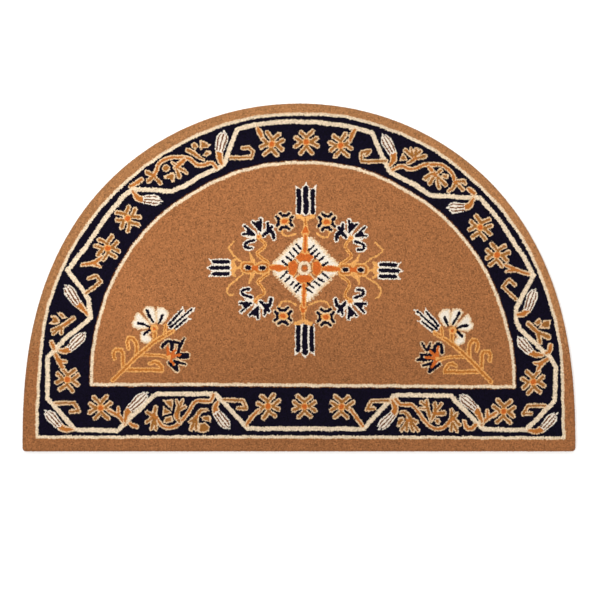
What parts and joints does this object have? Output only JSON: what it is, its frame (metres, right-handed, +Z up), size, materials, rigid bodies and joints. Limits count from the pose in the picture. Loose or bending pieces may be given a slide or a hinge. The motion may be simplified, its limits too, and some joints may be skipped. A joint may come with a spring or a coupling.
{
  "type": "half round hearth rug",
  "caption": "Half round hearth rug of hand tufted wool, one flat cloth with a straight edge that goes against the hearth and an arched edge towards the room.",
  "frame": {"origin": "on the floor, under the middle of the rug's own box", "axes": "+X along the straight hearth edge, +Y from the straight edge towards the crown of the arch, +Z up out of the pile"},
  "size_m": [1.118, 0.704, 0.012],
  "materials": {
    "wool_camel": "sheared wool pile, camel brown",
    "wool_navy": "sheared wool pile, midnight navy",
    "wool_cream": "sheared wool pile, cream",
    "wool_gold": "sheared wool pile, old gold",
    "wool_rust": "sheared wool pile, rust orange"
  },
  "bodies": {
    "root": {"hearth_rug": "wool_camel"}
  },
  "joints": []
}
